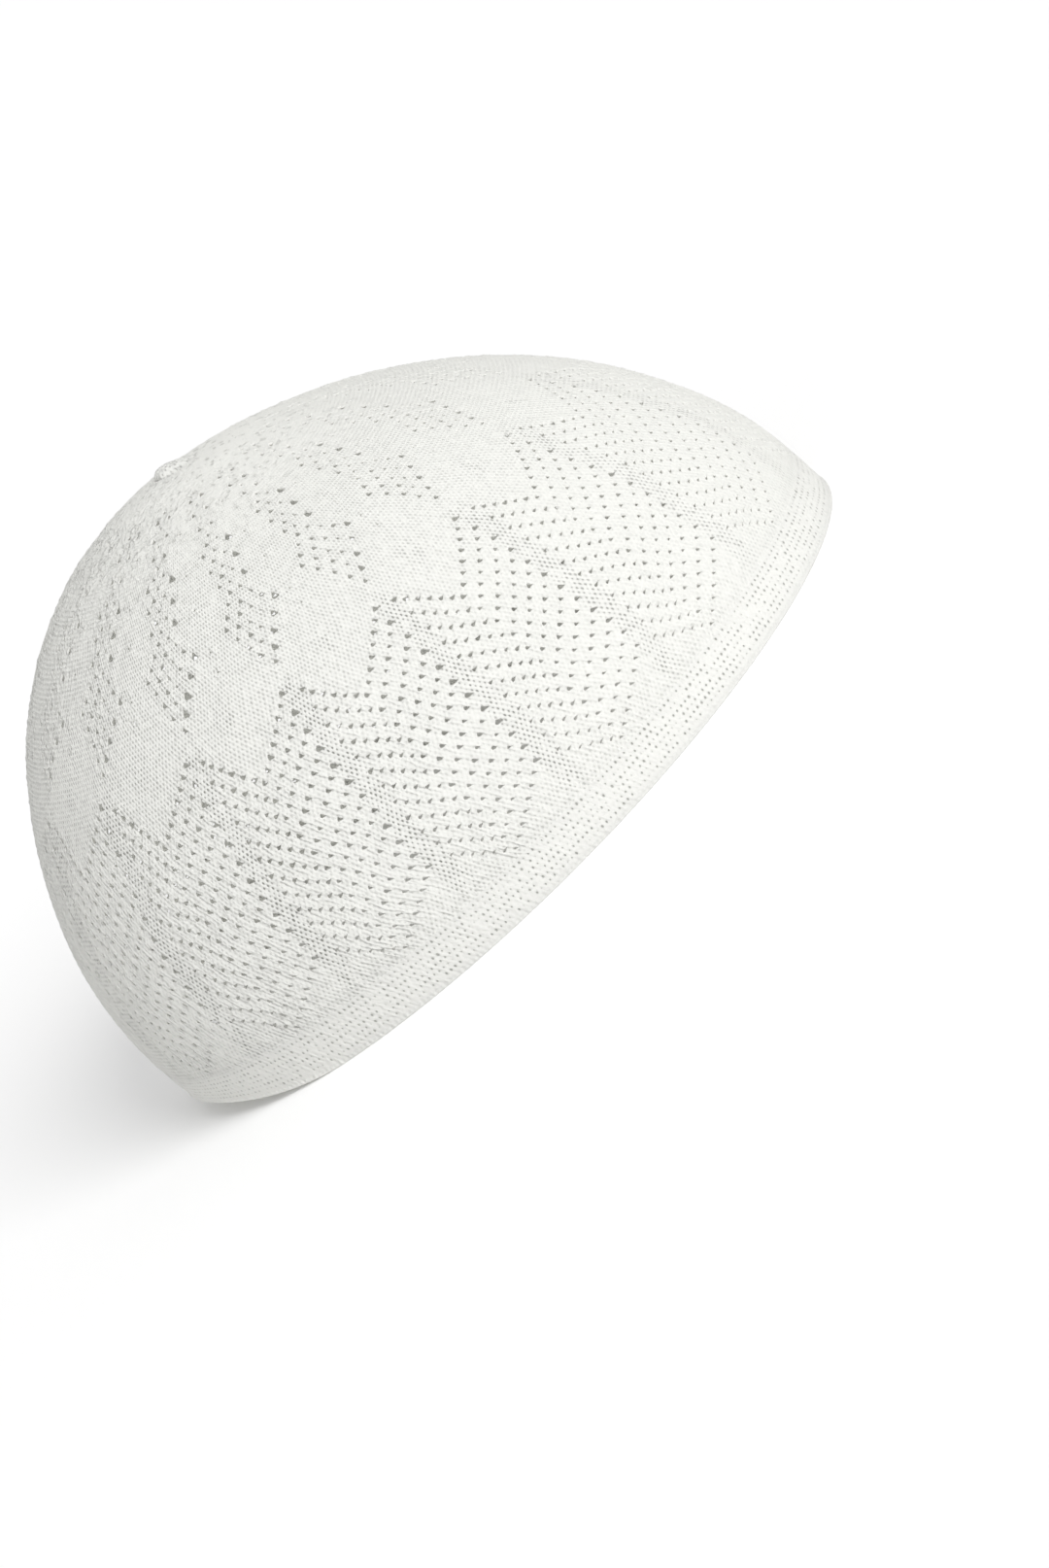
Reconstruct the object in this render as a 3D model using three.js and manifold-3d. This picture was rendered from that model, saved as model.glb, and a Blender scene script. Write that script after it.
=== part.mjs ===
// A knitted lace skullcap (kufi), standing on its rim in the rounded form that it has when worn.
// Millimetres. +X points to the forehead, +Y to the wearer's left ear and +Z up to the closing knot.
// The origin lies on the rim plane, below the middle of the cap.
import * as THREE from 'three';
import { mergeVertices } from 'three/addons/utils/BufferGeometryUtils.js';
import Module from 'manifold-3d';

const wasm = await Module();
wasm.setup();

// The cap's overall sizes.
const capLength = 194.6;        // forehead to nape, at the fullest course
const capWidth = 155;           // ear to ear, at the rim
const capDepth = 104.4;         // rim plane to the cloth under the closing knot

// The cloth.
const crownWall = 1.5;          // fine rib knit
const bandWall = 2.0;           // firmer rib of the rim band
const bandDepth = 10.5;         // rim to the band's upper edge, measured along the cloth
const bandProud = 0.25;         // how far the band stands out from the crown's face
const edgeDepth = 1.3;          // bound edge along the rim
const edgeProud = 0.35;         // how far the bound edge stands out from the band
const napeRise = 4.0;           // how much higher the rim lies at the nape, where the band is shallower
const napeReach = 48;           // degrees round the cap, each way from the nape, over which the rim rises
const napeFull = 12;            // degrees each way over which it has all of its rise
const pieceGap = 0.3;           // clearance between neighbouring pieces

// The closing knot, where the last course is drawn together.
const knotLength = 9.5;         // along the cap
const knotWidth = 7.5;          // across the cap
const knotHeight = 1.7;
const knotStem = 2.6;           // diameter of the drawn-up end in the crown's central hole
const gatherDepth = 0.45;       // radial gathers round the knot
const gatherReach = 16;         // how far down the cloth the gathers run

// The lace. Only the largest eyelets are open here: seven in each repeat.
const repeats = 17;
const columnsPerRepeat = 16;    // knitted ribs in one repeat of the pattern
const firstRepeat = 0.82;       // first repeat's place from the middle of the forehead, in repeats
const eyeletWidth = 1.9;
const eyeletLength = 2.3;

// Facets.
const facetsPerRepeat = 4;
const around = repeats * facetsPerRepeat;

// Courses of the cap, from the knot to the rim. down is the share of the way down the cloth. The reaches are
// shares of half the cap's length (front, back) or half its width (side), the heights of its depth.
const courseColumns = ['down', 'frontReach', 'frontHeight', 'backReach', 'backHeight', 'sideReach', 'sideHeight'];
const courses = [
  [0.00, -0.008, 1.000, 0.008, 1.000, 0.000, 1.000],
  [0.03, 0.041, 0.991, 0.055, 1.010, 0.055, 1.001],
  [0.06, 0.086, 0.981, 0.107, 1.013, 0.111, 0.996],
  [0.10, 0.145, 0.966, 0.176, 1.013, 0.185, 0.986],
  [0.20, 0.293, 0.914, 0.345, 0.987, 0.357, 0.937],
  [0.30, 0.433, 0.847, 0.502, 0.929, 0.514, 0.861],
  [0.40, 0.564, 0.764, 0.643, 0.842, 0.648, 0.767],
  [0.50, 0.685, 0.667, 0.762, 0.732, 0.759, 0.657],
  [0.60, 0.790, 0.555, 0.859, 0.603, 0.848, 0.537],
  [0.70, 0.877, 0.429, 0.935, 0.464, 0.916, 0.409],
  [0.80, 0.945, 0.293, 0.985, 0.314, 0.964, 0.276],
  [0.90, 0.986, 0.148, 1.002, 0.157, 0.991, 0.138],
  [1.00, 0.998, 0.000, 0.990, 0.000, 1.000, 0.000],
];

// Large eyelets of one repeat: three on the neck of the kite motif and four down its long edge. column counts
// ribs from the left edge of the chevron field below, down is the share of the way down the cloth.
const largeEyelets = [
  { column: -8.8, down: 0.265 },
  { column: -7.6, down: 0.299 },
  { column: -6.7, down: 0.333 },
  { column: -8.1, down: 0.397 },
  { column: -6.2, down: 0.419 },
  { column: -4.5, down: 0.441 },
  { column: -3.1, down: 0.4625 },
];

// A value of one column of the table at any share of the way down, smooth from row to row.
function courseValue(name, down) {
  const column = courseColumns.indexOf(name);
  const last = courses.length - 1;
  const slope = (i) => {
    const before = courses[Math.max(i - 1, 0)];
    const after = courses[Math.min(i + 1, last)];
    return (after[column] - before[column]) / (after[0] - before[0]);
  };
  let row = 0;
  while (row < last - 1 && down > courses[row + 1][0]) row += 1;
  const span = courses[row + 1][0] - courses[row][0];
  const s = (down - courses[row][0]) / span;
  const start = courses[row][column] * (1 + 2 * s) * (1 - s) ** 2 + slope(row) * span * s * (1 - s) ** 2;
  const end = courses[row + 1][column] * (3 - 2 * s) * s ** 2 - slope(row + 1) * span * (1 - s) * s ** 2;
  return start + end;
}

// The cloth's outer face without its gathers. turn is the angle round the cap from the forehead.
function smoothFace(turn, down) {
  const front = courseValue('frontReach', down) * capLength / 2;
  const back = -courseValue('backReach', down) * capLength / 2;
  const side = courseValue('sideReach', down) * capWidth / 2;
  const frontHeight = courseValue('frontHeight', down) * capDepth;
  const backHeight = courseValue('backHeight', down) * capDepth;
  const sideHeight = courseValue('sideHeight', down) * capDepth;
  const middle = (frontHeight + backHeight) / 2;
  const forward = Math.cos(turn);
  const left = Math.sin(turn);
  return new THREE.Vector3(
    (front + back) / 2 + forward * (front - back) / 2,
    left * side,
    middle + forward * (frontHeight - backHeight) / 2 + left ** 2 * (sideHeight - middle),
  );
}

// The face's outward direction. Very near the knot it is taken a little lower, where the rings have a size.
const poleDown = 0.006;
const probe = 0.002;
function outward(turn, down) {
  const low = Math.max(down, poleDown);
  const downhill = smoothFace(turn, Math.min(low + probe, 1)).sub(smoothFace(turn, low - probe));
  const along = smoothFace(turn + probe, low).sub(smoothFace(turn - probe, low));
  return downhill.cross(along).normalize();
}

// The length of the cloth from knot to rim, over one side.
function clothLength() {
  const steps = 60;
  let length = 0;
  for (let i = 0; i < steps; i += 1) {
    const from = smoothFace(Math.PI / 2, i / steps);
    length += from.distanceTo(smoothFace(Math.PI / 2, (i + 1) / steps));
  }
  return length;
}
const sideLength = clothLength();
const bandStart = 1 - bandDepth / sideLength;
const crownEnd = bandStart - pieceGap / sideLength;
const edgeStart = 1 - edgeDepth / sideLength;

// Gathers fade out with the distance from the knot, and each repeat of the pattern takes up one.
function gathered(turn, down) {
  const fade = Math.max(1 - down * sideLength / gatherReach, 0);
  const ripple = -gatherDepth * fade * (1 - Math.cos(turn * repeats)) / 2;
  return smoothFace(turn, down).addScaledVector(outward(turn, down), ripple);
}

// The band gets shallower towards the nape, so that the rim rises there above its plane.
function risen(turn, down) {
  if (down <= bandStart) return down;
  const fromNape = THREE.MathUtils.radToDeg(Math.abs(turn - Math.PI));
  const rise = THREE.MathUtils.smoothstep(-fromNape, -napeReach, -napeFull);
  return bandStart + (down - bandStart) * (1 - rise * napeRise / bandDepth);
}

// A closed wall round the cap. Its section is a loop of corners, each a share of the way down the cloth and a
// distance out from the cloth's face. The corners on the rim are moved out level, so the rim's face is flat.
function wallRound(section) {
  const corners = [];
  for (let i = 0; i < around; i += 1) {
    const turn = 2 * Math.PI * i / around;
    for (const { down, out } of section) {
      const place = risen(turn, down);
      const direction = outward(turn, place);
      if (down === 1) direction.setZ(0).normalize();
      corners.push(...gathered(turn, place).addScaledVector(direction, out).toArray());
    }
  }
  const faces = [];
  const count = section.length;
  for (let i = 0; i < around; i += 1) {
    const here = i * count;
    const next = ((i + 1) % around) * count;
    for (let k = 0; k < count; k += 1) {
      const m = (k + 1) % count;
      faces.push(here + k, here + m, next + m, here + k, next + m, next + k);
    }
  }
  return closedGeometry(corners, faces);
}

function closedGeometry(corners, faces) {
  const geometry = new THREE.BufferGeometry();
  geometry.setAttribute('position', new THREE.Float32BufferAttribute(corners, 3));
  geometry.setIndex(faces);
  return geometry;
}

function toSolid(geometry) {
  const bare = geometry.clone();
  bare.deleteAttribute('normal');
  bare.deleteAttribute('uv');
  const merged = mergeVertices(bare, 1e-5);
  return new wasm.Manifold(new wasm.Mesh({
    numProp: 3,
    vertProperties: new Float32Array(merged.attributes.position.array),
    triVerts: new Uint32Array(merged.index.array),
  }));
}

function toGeometry(solid) {
  const mesh = solid.getMesh();
  return closedGeometry(Array.from(mesh.vertProperties), Array.from(mesh.triVerts));
}

// The crown is one hollow knitted dome, open at the rim and at the small central hole for the knot.
const holeEdge = (knotStem / 2 + pieceGap) / sideLength;
const crownCourses = [0.03, 0.06, 0.1, 0.15, 0.21, 0.28, 0.35, 0.42, 0.49, 0.56, 0.63, 0.7, 0.77, 0.84];

function crownGeometry() {
  const downs = [holeEdge, ...crownCourses, crownEnd];
  const outer = downs.map((down) => ({ down, out: 0 }));
  const inner = downs.map((down) => ({ down, out: -crownWall })).reverse();
  const dome = toSolid(wallRound([...outer, ...inner]));
  return toGeometry(dome.subtract(eyeletCutters()));
}

// Six-sided cutters through the wall, one for each large eyelet, joined as one loose solid.
function eyeletCutters() {
  const cutter = new THREE.CylinderGeometry(0.5, 0.5, 1, 6);
  let all = null;
  for (let repeat = 0; repeat < repeats; repeat += 1) {
    for (const { column, down } of largeEyelets) {
      const turn = -2 * Math.PI * (repeat + firstRepeat + column / columnsPerRepeat) / repeats;
      const out = outward(turn, down);
      const level = new THREE.Vector3(0, 0, 1).cross(out).normalize();
      const uphill = out.clone().cross(level);
      const centre = smoothFace(turn, down).addScaledVector(out, -crownWall / 2);
      const place = new THREE.Matrix4().makeBasis(
        level.multiplyScalar(eyeletWidth),
        out.multiplyScalar(crownWall * 3),
        uphill.multiplyScalar(-eyeletLength),
      ).setPosition(centre);
      const solid = toSolid(cutter.clone().applyMatrix4(place));
      all = all === null ? solid : all.add(solid);
    }
  }
  return all;
}

// The rim band is a firmer rib with a bound edge that stands out a little where it meets the rim.
function bandGeometry() {
  const inside = bandProud - bandWall;
  return wallRound([
    { down: bandStart, out: bandProud },
    { down: (bandStart + edgeStart) / 2, out: bandProud },
    { down: edgeStart, out: bandProud },
    { down: edgeStart + 0.3 * (1 - edgeStart), out: bandProud + edgeProud },
    { down: 1, out: bandProud + edgeProud },
    { down: 1, out: inside },
    { down: edgeStart, out: inside },
    { down: bandStart, out: inside },
  ]);
}

// The knot is a low rounded tuft over the central hole, with its drawn-up end passing down through the wall.
const stemDrop = crownWall + pieceGap;
function knotGeometry() {
  const profile = [
    new THREE.Vector2(0, -stemDrop),
    new THREE.Vector2(knotStem / 2, -stemDrop),
    new THREE.Vector2(knotStem / 2, pieceGap),
    new THREE.Vector2(0.47 * knotWidth, pieceGap),
    new THREE.Vector2(0.5 * knotWidth, 0.35 * knotHeight + pieceGap),
    new THREE.Vector2(0.43 * knotWidth, 0.7 * knotHeight + pieceGap),
    new THREE.Vector2(0.27 * knotWidth, 0.93 * knotHeight + pieceGap),
    new THREE.Vector2(0, knotHeight + pieceGap),
  ];
  const sides = 24;
  const turned = new THREE.LatheGeometry(profile, sides);
  const position = turned.attributes.position;
  for (let i = 0; i < position.count; i += 1) {
    const reach = Math.hypot(position.getX(i), position.getZ(i));
    const spare = Math.max(reach - knotStem / 2, 0) / (knotWidth / 2 - knotStem / 2);
    position.setX(i, position.getX(i) * (1 + spare * (knotLength / knotWidth - 1)));
  }
  turned.deleteAttribute('normal');
  turned.deleteAttribute('uv');
  const welded = mergeVertices(turned, 1e-5);
  const kept = [];
  const index = welded.index.array;
  for (let i = 0; i < index.length; i += 3) {
    const [a, b, c] = [index[i], index[i + 1], index[i + 2]];
    if (a !== b && b !== c && c !== a) kept.push(a, b, c);
  }
  welded.setIndex(kept);
  return welded;
}

function knitMaterial(name, color) {
  return new THREE.MeshStandardMaterial({ name, color, roughness: 0.92, metalness: 0 });
}

function piece(name, geometry, material) {
  const mesh = new THREE.Mesh(geometry, material);
  mesh.name = name;
  geometry.computeVertexNormals();
  return mesh;
}

const laceKnit = knitMaterial('lace_knit', 0xf1f2ee);
const ribKnit = knitMaterial('rib_knit', 0xf4f5f1);

const crown = piece('crown', crownGeometry(), laceKnit);
const rimBand = piece('rim_band', bandGeometry(), ribKnit);
const closingKnot = piece('closing_knot', knotGeometry(), laceKnit);

// The knot stands square to the cloth at the top of the dome, which leans a little towards the forehead.
const topLean = outward(0, poleDown).add(outward(Math.PI, poleDown)).normalize();
closingKnot.quaternion.setFromUnitVectors(new THREE.Vector3(0, 1, 0), topLean);
closingKnot.position.copy(smoothFace(0, 0));

const cap = new THREE.Group();
cap.add(crown, rimBand, closingKnot);

export default cap;
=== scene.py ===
import math

import bpy
import numpy as np
from mathutils import Matrix, Vector
from mathutils.geometry import delaunay_2d_cdt


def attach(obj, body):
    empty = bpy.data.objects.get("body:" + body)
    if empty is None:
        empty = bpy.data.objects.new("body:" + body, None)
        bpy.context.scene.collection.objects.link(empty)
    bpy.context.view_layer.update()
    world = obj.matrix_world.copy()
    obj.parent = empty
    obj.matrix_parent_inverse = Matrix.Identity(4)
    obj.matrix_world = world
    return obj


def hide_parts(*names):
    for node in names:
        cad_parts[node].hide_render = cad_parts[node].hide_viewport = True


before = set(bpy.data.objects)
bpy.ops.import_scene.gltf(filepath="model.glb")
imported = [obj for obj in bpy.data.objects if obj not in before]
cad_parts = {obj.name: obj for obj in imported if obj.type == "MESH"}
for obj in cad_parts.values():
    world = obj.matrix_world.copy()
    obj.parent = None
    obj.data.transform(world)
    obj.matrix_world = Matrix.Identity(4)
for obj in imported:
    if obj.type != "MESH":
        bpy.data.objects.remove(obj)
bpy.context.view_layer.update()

# The crown: one fine cotton knit, made in the round from the rim band up to the knot. So its shape is given
# course by course: where each ring of stitches lies at the forehead, at the nape and over the ears.
MM = 0.001
CAP_LENGTH = 194.6
CAP_WIDTH = 155.0
CAP_DEPTH = 104.4
CLOTH_LENGTH = 144.3     # from the knot down to the rim, over one ear

# Share of the way down the cloth, then reach and height at the front, at the back and at the side. Reaches
# are shares of half the length or half the width, heights are shares of the depth.
COURSES = np.array([
    [0.00, -0.008, 1.000, 0.008, 1.000, 0.000, 1.000],
    [0.03, 0.041, 0.991, 0.055, 1.010, 0.055, 1.001],
    [0.06, 0.086, 0.981, 0.107, 1.013, 0.111, 0.996],
    [0.10, 0.145, 0.966, 0.176, 1.013, 0.185, 0.986],
    [0.20, 0.293, 0.914, 0.345, 0.987, 0.357, 0.937],
    [0.30, 0.433, 0.847, 0.502, 0.929, 0.514, 0.861],
    [0.40, 0.564, 0.764, 0.643, 0.842, 0.648, 0.767],
    [0.50, 0.685, 0.667, 0.762, 0.732, 0.759, 0.657],
    [0.60, 0.790, 0.555, 0.859, 0.603, 0.848, 0.537],
    [0.70, 0.877, 0.429, 0.935, 0.464, 0.916, 0.409],
    [0.80, 0.945, 0.293, 0.985, 0.314, 0.964, 0.276],
    [0.90, 0.986, 0.148, 1.002, 0.157, 0.991, 0.138],
    [1.00, 0.998, 0.000, 0.990, 0.000, 1.000, 0.000],
])
FRONT_REACH, FRONT_HEIGHT, BACK_REACH, BACK_HEIGHT, SIDE_REACH, SIDE_HEIGHT = range(1, 7)


def course_value(column, down):
    """One column of the table at any share of the way down, smooth from row to row."""
    steps = COURSES[:, 0]
    values = COURSES[:, column]
    before = np.maximum(np.arange(len(steps)) - 1, 0)
    after = np.minimum(np.arange(len(steps)) + 1, len(steps) - 1)
    slopes = (values[after] - values[before]) / (steps[after] - steps[before])
    row = np.clip(np.searchsorted(steps, down, side="right") - 1, 0, len(steps) - 2)
    span = steps[row + 1] - steps[row]
    s = (down - steps[row]) / span
    start = values[row] * (1 + 2 * s) * (1 - s) ** 2 + slopes[row] * span * s * (1 - s) ** 2
    end = values[row + 1] * (3 - 2 * s) * s ** 2 - slopes[row + 1] * span * (1 - s) * s ** 2
    return start + end


def cloth_point(turn, down):
    """The cloth's outer face in millimetres. turn is the angle round the cap from the forehead."""
    front = course_value(FRONT_REACH, down) * CAP_LENGTH / 2
    back = -course_value(BACK_REACH, down) * CAP_LENGTH / 2
    side = course_value(SIDE_REACH, down) * CAP_WIDTH / 2
    front_height = course_value(FRONT_HEIGHT, down) * CAP_DEPTH
    back_height = course_value(BACK_HEIGHT, down) * CAP_DEPTH
    side_height = course_value(SIDE_HEIGHT, down) * CAP_DEPTH
    middle = (front_height + back_height) / 2
    forward = np.cos(turn)
    left = np.sin(turn)
    return np.stack([
        (front + back) / 2 + forward * (front - back) / 2,
        left * side,
        middle + forward * (front_height - back_height) / 2 + left ** 2 * (side_height - middle),
    ], axis=-1)


def cloth_outward(turn, down):
    """The direction out of the cloth, taken a little below the knot where it would have none."""
    probe = 0.002
    low = np.maximum(down, 0.006)
    high_side = cloth_point(turn, low - probe)
    low_side = cloth_point(turn, np.minimum(low + probe, 1.0))
    ahead = cloth_point(turn + probe, low)
    behind = cloth_point(turn - probe, low)
    out = np.cross(low_side - high_side, ahead - behind)
    return out / np.linalg.norm(out, axis=-1, keepdims=True)


def ring_length(down):
    """About how long one course is round the cap, in millimetres."""
    length = (course_value(FRONT_REACH, down) + course_value(BACK_REACH, down)) * CAP_LENGTH / 4
    width = course_value(SIDE_REACH, down) * CAP_WIDTH / 2
    return 2 * math.pi * np.sqrt((length ** 2 + width ** 2) / 2)


# The lace pattern comes 17 times round the cap, on 16 knitted ribs each time. A place in it is given by its
# rib, counted from the left edge of the chevron field, and by the share of the way down the cloth.
REPEATS = 17
RIBS = 16
FIRST_REPEAT = 0.82      # where the first repeat starts, in repeats from the middle of the forehead
FIELD_TOP = 0.5245       # share of the way down
LEAN = 0.30              # how far the ribs lean, in repeats for the whole way down
TEMPLE_LEAN = 0.38       # how much more they lean towards the nape over each temple


def field_course(course):
    """The courses of a field get lower towards the rim, where the cloth is stretched sideways."""
    return FIELD_TOP + 0.00412 * course - 4.8e-6 * course ** 2


def wale_turn(place, down):
    """The angle round the cap of a place counted in repeats. Below the fields' tops the ribs lean a little
    one way round the cap, towards the nape on its right side, and most of all over the right temple."""
    base = 2 * math.pi * (place + FIRST_REPEAT) / REPEATS
    lean = np.maximum(down - FIELD_TOP + 0.02, 0) * (LEAN + TEMPLE_LEAN * np.sin(2 * base))
    return -(base + 2 * math.pi * lean / REPEATS)


# Eyelets of one repeat: rib, share down, width and height in millimetres. The field is a chevron: every
# eyelet in a rib is eight courses below the last, and its neighbours towards the middle start three courses
# lower. Towards the rim the cloth is pulled sideways and they close to slits.
eyelets = []
FIELD_COLUMNS = 14
FIELD_ROWS = 12
FIELD_MIDDLE = 7
LEFT_SPACING = 1.15      # ribs from one column to the next, on either side of the middle
RIGHT_SPACING = 0.92
ROW_COURSES = 8
STEP_COURSES = 3
CLOSING_ROW = 5          # below this row the eyelets get lower
CLOSING = 0.06           # by this much a row, in millimetres
EDGE_CLOSING = 0.08
for column in range(FIELD_COLUMNS):
    rib = LEFT_SPACING * min(column, FIELD_MIDDLE) + RIGHT_SPACING * max(column - FIELD_MIDDLE, 0)
    from_edge = FIELD_MIDDLE - abs(column - FIELD_MIDDLE)
    for row in range(FIELD_ROWS):
        down = field_course(ROW_COURSES * row + STEP_COURSES * from_edge)
        lower = max(row - CLOSING_ROW, 0)
        width = 1.20
        height = 1.02 - CLOSING * lower
        if column == 0:
            width = 1.70
            height = 1.30 - EDGE_CLOSING * lower
        elif row == 0:
            width = 1.25
            height = 1.20
        elif column > FIELD_MIDDLE:
            height = 0.88 - CLOSING * lower
        eyelets.append((rib, down, width, height))

# The kite above each seam between two fields, charted line by line from upper left to lower right. The lines
# start with the large eyelets of its long edge. Sizes are widths and heights.
LARGE = (1.35, 1.75)
MEDIUM = (0.98, 1.12)
SMALL = (0.70, 0.78)
TINY = (0.45, 0.50)
KITE_LINES = [
    [(-8.6, 0.130, SMALL), (-5.5, 0.145, MEDIUM)],
    [(-11.0, 0.148, MEDIUM), (-7.1, 0.162, TINY), (-4.2, 0.180, MEDIUM)],
    [(-9.5, 0.183, MEDIUM), (-6.0, 0.196, TINY), (-4.0, 0.214, MEDIUM)],
    [(-7.9, 0.218, MEDIUM), (-5.3, 0.234, SMALL), (-3.7, 0.248, MEDIUM), (-1.7, 0.262, MEDIUM)],
    [(-6.8, 0.250, SMALL), (-4.7, 0.266, SMALL), (-3.2, 0.281, MEDIUM), (-1.5, 0.295, MEDIUM)],
    [(-8.8, 0.265, LARGE), (-6.1, 0.283, SMALL), (-4.1, 0.301, SMALL), (-2.9, 0.315, MEDIUM),
     (-1.4, 0.328, MEDIUM)],
    [(-7.6, 0.299, LARGE), (-5.3, 0.318, SMALL), (-3.5, 0.333, SMALL), (-2.5, 0.348, MEDIUM),
     (-1.05, 0.362, MEDIUM), (0.2, 0.378, MEDIUM), (1.35, 0.393, MEDIUM)],
    [(-6.7, 0.333, LARGE), (-4.6, 0.349, SMALL), (-3.2, 0.370, MEDIUM), (-2.05, 0.385, MEDIUM),
     (-0.8, 0.400, MEDIUM), (0.35, 0.415, MEDIUM)],
    [(-5.7, 0.365, SMALL), (-4.2, 0.386, SMALL), (-2.7, 0.405, SMALL), (-1.7, 0.422, MEDIUM),
     (-0.45, 0.437, MEDIUM)],
    [(-6.7, 0.381, MEDIUM), (-5.05, 0.402, SMALL), (-3.5, 0.422, SMALL), (-2.3, 0.442, SMALL),
     (-1.05, 0.459, MEDIUM)],
    [(-8.1, 0.397, LARGE), (-6.2, 0.419, LARGE), (-4.5, 0.441, LARGE), (-3.1, 0.4625, LARGE),
     (-1.9, 0.4815, MEDIUM)],
]
for line in KITE_LINES:
    for rib, down, (width, height) in line:
        eyelets.append((rib, down, width, height))

# One line of very small ones down the plain panel between two kites.
for rib, down in [(2.0, 0.198), (3.9, 0.275), (4.65, 0.333), (5.4, 0.406), (5.7, 0.437)]:
    eyelets.append((rib, down, *TINY))

eyelet_rib = np.array([e[0] for e in eyelets]) % RIBS
eyelet_down = np.array([e[1] for e in eyelets])
eyelet_width = np.array([e[2] for e in eyelets])
eyelet_height = np.array([e[3] for e in eyelets])
eyelet_radius = (eyelet_width + eyelet_height) / 4.6

# The outline of an eyelet as shares of its width and height: a slanting strand closes its upper left, which
# leaves a wedge with its thin end to the left. In the right half of a field the wedges tip to the right.
WEDGE = np.array([(-0.56, 0.22), (-0.30, 0.02), (0.00, -0.34), (0.24, -0.50), (0.44, -0.22), (0.50, 0.24),
                  (0.30, 0.46), (-0.08, 0.42), (-0.42, 0.38)])
UPRIGHT_SLANT = math.radians(-12)
TIPPED_SLANT = math.radians(24)
FIRST_TIPPED_RIB = 8.5
LAST_TIPPED_RIB = 14.6
in_right_half = (eyelet_rib > FIRST_TIPPED_RIB) & (eyelet_rib < LAST_TIPPED_RIB) & (eyelet_down > 0.5)
eyelet_slant = np.where(in_right_half, TIPPED_SLANT, UPRIGHT_SLANT)

CROWN_TOP = 0.012
CROWN_END = 0.9300
CLOTH = 0.5              # thickness of the cloth
POINT_STEP = 0.95        # distance between points where the cloth is plain
LIP = 0.30               # width of the rolled edge round an eyelet
CLEAR_OF_EYELET = 0.75   # how far the plain cloth's points stay from an eyelet's edge
EYELET_UNEVEN = 0.10     # how much the corners of an eyelet differ, as a share of its size
POINT_UNEVEN = 0.18      # how far points are moved about, as a share of their distance
rng = np.random.default_rng(17)


def rib_width(down):
    """Millimetres in one rib."""
    return ring_length(down) / (REPEATS * RIBS)


def one_repeat():
    """Points of one repeat as (rib, down), the eyelet that each edge point belongs to, or -1, and the loops
    of edge points."""
    ribs, downs, owners, loops = [], [], [], []
    for number in range(len(eyelets)):
        outline = WEDGE * (eyelet_width[number], eyelet_height[number])
        outline = outline * (1 + rng.uniform(-EYELET_UNEVEN, EYELET_UNEVEN, outline.shape))
        slant = eyelet_slant[number]
        x = outline[:, 0] * math.cos(slant) - outline[:, 1] * math.sin(slant)
        y = outline[:, 0] * math.sin(slant) + outline[:, 1] * math.cos(slant)
        width = rib_width(eyelet_down[number])
        corners = len(WEDGE)
        loops.append(np.arange(corners) + len(ribs))
        ribs.extend(eyelet_rib[number] + x / width)
        downs.extend(eyelet_down[number] + y / CLOTH_LENGTH)
        owners.extend([number] * corners)
        reach = np.hypot(x, y)
        lip_x = x * (reach + LIP) / reach
        lip_y = y * (reach + LIP) / reach
        ribs.extend(eyelet_rib[number] + lip_x / width)
        downs.extend(eyelet_down[number] + lip_y / CLOTH_LENGTH)
        owners.extend([-1] * corners)
    rows = np.linspace(CROWN_TOP, CROWN_END, round((CROWN_END - CROWN_TOP) * CLOTH_LENGTH / POINT_STEP))
    for index, down in enumerate(rows):
        width = rib_width(down)
        count = max(3, round(RIBS * width / POINT_STEP))
        edge = index in (0, len(rows) - 1)
        x = (np.arange(count) + 0.5 * (index % 2)) * RIBS / count
        y = np.full(count, down)
        if not edge:
            x = x + rng.uniform(-POINT_UNEVEN, POINT_UNEVEN, count) * POINT_STEP / width
            y = y + rng.uniform(-POINT_UNEVEN, POINT_UNEVEN, count) * POINT_STEP / CLOTH_LENGTH
        away = (x[:, None] - eyelet_rib[None, :] + RIBS / 2) % RIBS - RIBS / 2
        away = np.hypot(away * width, (y[:, None] - eyelet_down[None, :]) * CLOTH_LENGTH)
        needed = eyelet_radius + CLEAR_OF_EYELET
        clear = np.all(away > needed, axis=1) | edge
        ribs.extend(x[clear])
        downs.extend(y[clear])
        owners.extend([-1] * int(clear.sum()))
    return np.array(ribs), np.array(downs), np.array(owners), loops


base_rib, base_down, base_owner, base_loops = one_repeat()
base_count = len(base_rib)


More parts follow.
